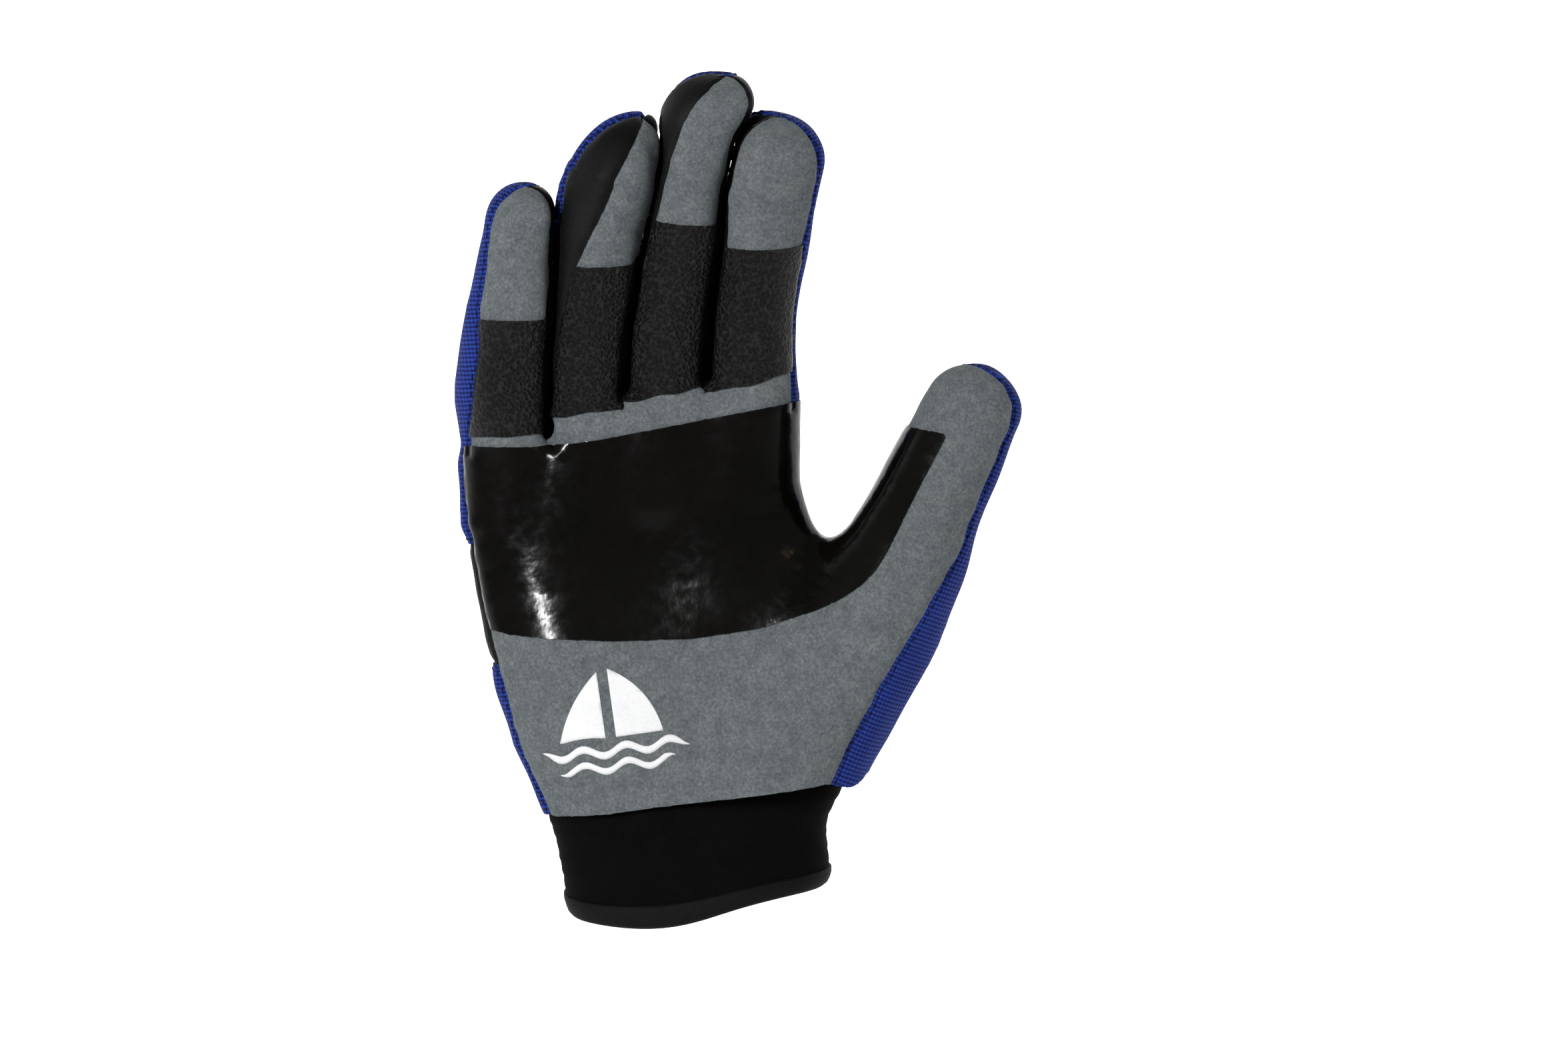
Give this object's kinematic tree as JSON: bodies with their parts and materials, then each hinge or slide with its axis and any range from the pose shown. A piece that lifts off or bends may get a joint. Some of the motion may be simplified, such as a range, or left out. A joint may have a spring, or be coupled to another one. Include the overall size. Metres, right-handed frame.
{
  "type": "sailing glove",
  "caption": "Right-hand full-finger sailing glove with hinged fingers and thumb, bonded grip patches, knit back and tabbed wrist cuff.",
  "frame": {"origin": "centre of the wrist opening's rim", "axes": "+Z from the wrist opening towards the fingertips, -Y the palm side, +X the thumb side"},
  "size_m": [0.1491, 0.0541, 0.2218],
  "materials": {
    "suede_grey": "matte",
    "grip_black": "rough",
    "gloss_black": "gloss",
    "knit_blue": "ribbed",
    "stretch_black": "matte",
    "cuff_black": "matte",
    "binding_black": "matte",
    "tab_black": "matte",
    "fastener_black": "rough"
  },
  "bodies": {
    "hand": {"palm_panel": "suede_grey", "back_panel": "knit_blue", "palm_grip_patch": "gloss_black", "side_gusset": "stretch_black", "cuff_band": "cuff_black", "cuff_binding": "binding_black", "loop_patch": "fastener_black", "tab_anchor": "cuff_black"},
    "little_proximal": {"little_proximal_front": "suede_grey", "little_proximal_back": "knit_blue", "little_proximal_fourchettes": "stretch_black", "little_grip_lower": "grip_black"},
    "little_middle": {"little_middle_front": "suede_grey", "little_middle_back": "knit_blue", "little_middle_fourchettes": "stretch_black", "little_grip_upper": "grip_black"},
    "little_distal": {"little_distal_front": "suede_grey", "little_distal_back": "knit_blue", "little_distal_fourchettes": "stretch_black"},
    "ring_proximal": {"ring_proximal_front": "suede_grey", "ring_proximal_back": "knit_blue", "ring_proximal_fourchettes": "stretch_black", "ring_grip_lower": "grip_black"},
    "ring_middle": {"ring_middle_front": "suede_grey", "ring_middle_back": "knit_blue", "ring_middle_fourchettes": "stretch_black", "ring_grip_upper": "grip_black"},
    "ring_distal": {"ring_distal_front": "suede_grey", "ring_distal_back": "knit_blue", "ring_distal_fourchettes": "stretch_black"},
    "middle_proximal": {"middle_proximal_front": "suede_grey", "middle_proximal_back": "knit_blue", "middle_proximal_fourchettes": "stretch_black", "middle_grip_lower": "grip_black"},
    "middle_middle": {"middle_middle_front": "suede_grey", "middle_middle_back": "knit_blue", "middle_middle_fourchettes": "stretch_black", "middle_grip_upper": "grip_black"},
    "middle_distal": {"middle_distal_front": "suede_grey", "middle_distal_back": "knit_blue", "middle_distal_fourchettes": "stretch_black"},
    "index_proximal": {"index_proximal_front": "suede_grey", "index_proximal_back": "knit_blue", "index_proximal_fourchettes": "stretch_black", "index_grip_lower": "grip_black"},
    "index_middle": {"index_middle_front": "suede_grey", "index_middle_back": "knit_blue", "index_middle_fourchettes": "stretch_black", "index_grip_upper": "grip_black"},
    "index_distal": {"index_distal_front": "suede_grey", "index_distal_back": "knit_blue", "index_distal_fourchettes": "stretch_black"},
    "thumb_proximal": {"thumb_proximal_front": "suede_grey", "thumb_proximal_back": "knit_blue", "thumb_grip_patch": "gloss_black"},
    "thumb_distal": {"thumb_distal_front": "suede_grey", "thumb_distal_back": "knit_blue"},
    "closure_tab": {"closure_tab": "tab_black", "hook_patch": "fastener_black"}
  },
  "joints": [
    {"name": "little_root", "type": "hinge", "parent": "hand", "child": "little_proximal", "pos_m": [-0.0415, -0.00744, 0.127], "axis": [0.9882, 0, -0.153], "range_deg": [0, 75], "stiffness_Nm_per_rad": 0.15},
    {"name": "little_middle_joint", "type": "hinge", "parent": "little_proximal", "child": "little_middle", "pos_m": [-0.03798, -0.00848, 0.14971], "axis": [0.9882, 0, -0.153], "range_deg": [0, 80], "stiffness_Nm_per_rad": 0.08},
    {"name": "little_tip_joint", "type": "hinge", "parent": "little_middle", "child": "little_distal", "pos_m": [-0.03467, -0.01221, 0.17114], "axis": [0.9882, 0, -0.153], "range_deg": [0, 53.34], "stiffness_Nm_per_rad": 0.04},
    {"name": "ring_root", "type": "hinge", "parent": "hand", "child": "ring_proximal", "pos_m": [-0.0206, -0.00792, 0.131], "axis": [0.9736, 0, -0.2284], "range_deg": [0, 75], "stiffness_Nm_per_rad": 0.15},
    {"name": "ring_middle_joint", "type": "hinge", "parent": "ring_proximal", "child": "ring_middle", "pos_m": [-0.01421, -0.00923, 0.15823], "axis": [0.9736, 0, -0.2284], "range_deg": [0, 80], "stiffness_Nm_per_rad": 0.08},
    {"name": "ring_tip_joint", "type": "hinge", "parent": "ring_middle", "child": "ring_distal", "pos_m": [-0.00814, -0.01398, 0.18411], "axis": [0.9736, 0, -0.2284], "range_deg": [0, 53.34], "stiffness_Nm_per_rad": 0.04},
    {"name": "middle_root", "type": "hinge", "parent": "hand", "child": "middle_proximal", "pos_m": [0.0012, -0.00808, 0.134], "axis": [0.9681, 0, -0.2504], "range_deg": [0, 75], "stiffness_Nm_per_rad": 0.15},
    {"name": "middle_middle_joint", "type": "hinge", "parent": "middle_proximal", "child": "middle_middle", "pos_m": [0.00883, -0.00952, 0.1635], "axis": [0.9681, 0, -0.2504], "range_deg": [0, 80], "stiffness_Nm_per_rad": 0.08},
    {"name": "middle_tip_joint", "type": "hinge", "parent": "middle_middle", "child": "middle_distal", "pos_m": [0.01597, -0.01481, 0.1911], "axis": [0.9681, 0, -0.2504], "range_deg": [0, 53.34], "stiffness_Nm_per_rad": 0.04},
    {"name": "index_root", "type": "hinge", "parent": "hand", "child": "index_proximal", "pos_m": [0.0252, -0.00848, 0.135], "axis": [0.9799, 0, -0.1994], "range_deg": [0, 75], "stiffness_Nm_per_rad": 0.15},
    {"name": "index_middle_joint", "type": "hinge", "parent": "index_proximal", "child": "index_middle", "pos_m": [0.03018, -0.00955, 0.15948], "axis": [0.9799, 0, -0.1994], "range_deg": [0, 80], "stiffness_Nm_per_rad": 0.08},
    {"name": "index_tip_joint", "type": "hinge", "parent": "index_middle", "child": "index_distal", "pos_m": [0.03489, -0.01381, 0.18262], "axis": [0.9799, 0, -0.1994], "range_deg": [0, 53.34], "stiffness_Nm_per_rad": 0.04},
    {"name": "thumb_root", "type": "hinge", "parent": "hand", "child": "thumb_proximal", "pos_m": [0.05422, -0.01679, 0.0783], "axis": [0.7448, -0.4649, -0.4787], "range_deg": [0, 30], "stiffness_Nm_per_rad": 0.15},
    {"name": "thumb_tip_joint", "type": "hinge", "parent": "thumb_proximal", "child": "thumb_distal", "pos_m": [0.06987, -0.02027, 0.10602], "axis": [0.7448, -0.4649, -0.4787], "range_deg": [0, 50], "stiffness_Nm_per_rad": 0.06},
    {"name": "closure_tab_peel", "type": "hinge", "parent": "hand", "child": "closure_tab", "pos_m": [0.01715, 0.02685, 0.015], "axis": [0, 0, -1], "range_deg": [0, 120]}
  ],
  "couplings": [
    {"joint": "little_tip_joint", "follows": "little_middle_joint", "ratio": 0.66667},
    {"joint": "ring_tip_joint", "follows": "ring_middle_joint", "ratio": 0.66667},
    {"joint": "middle_tip_joint", "follows": "middle_middle_joint", "ratio": 0.66667},
    {"joint": "index_tip_joint", "follows": "index_middle_joint", "ratio": 0.66667}
  ]
}
